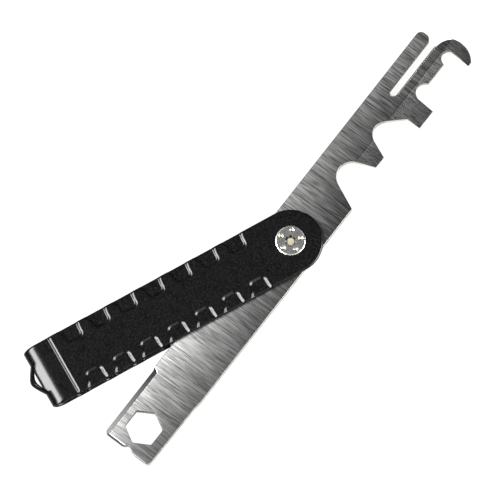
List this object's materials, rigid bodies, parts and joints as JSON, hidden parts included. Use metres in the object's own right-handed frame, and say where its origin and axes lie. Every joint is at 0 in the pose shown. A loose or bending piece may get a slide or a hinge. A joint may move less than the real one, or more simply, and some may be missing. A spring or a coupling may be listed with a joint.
{
  "type": "folding multi tool",
  "caption": "Folding hand tool: a notched and hooked steel bar with a hexagon hole, pivoted in a folded steel strap handle with a lanyard loop.",
  "frame": {"origin": "on the pivot axis, at the centre of the pivot nut's back face, which the tool lies on", "axes": "+Z out of the front cheek along the pivot axis, towards the screw head; +X along the handle from its fold to the pivot"},
  "size_m": [0.2233, 0.1038, 0.0101],
  "materials": {
    "black_coating": "semi-gloss black coating on steel",
    "brushed_stainless": "stainless steel, ground across its length",
    "satin_screw": "satin stainless steel with a bright rim",
    "satin_nut": "satin stainless steel",
    "bronze_washer": "plain bronze",
    "spring_steel": "plain spring steel"
  },
  "bodies": {
    "handle": {"handle_strap": "black_coating", "pivot_screw": "satin_screw", "pivot_nut": "satin_nut", "front_washer": "bronze_washer", "wave_washer": "spring_steel"},
    "bar": {"tool_bar": "brushed_stainless"}
  },
  "joints": [
    {"name": "bar_swing", "type": "hinge", "parent": "handle", "child": "bar", "pos_m": [0, 0, 0], "axis": [0, 0, 1], "continuous": true}
  ]
}
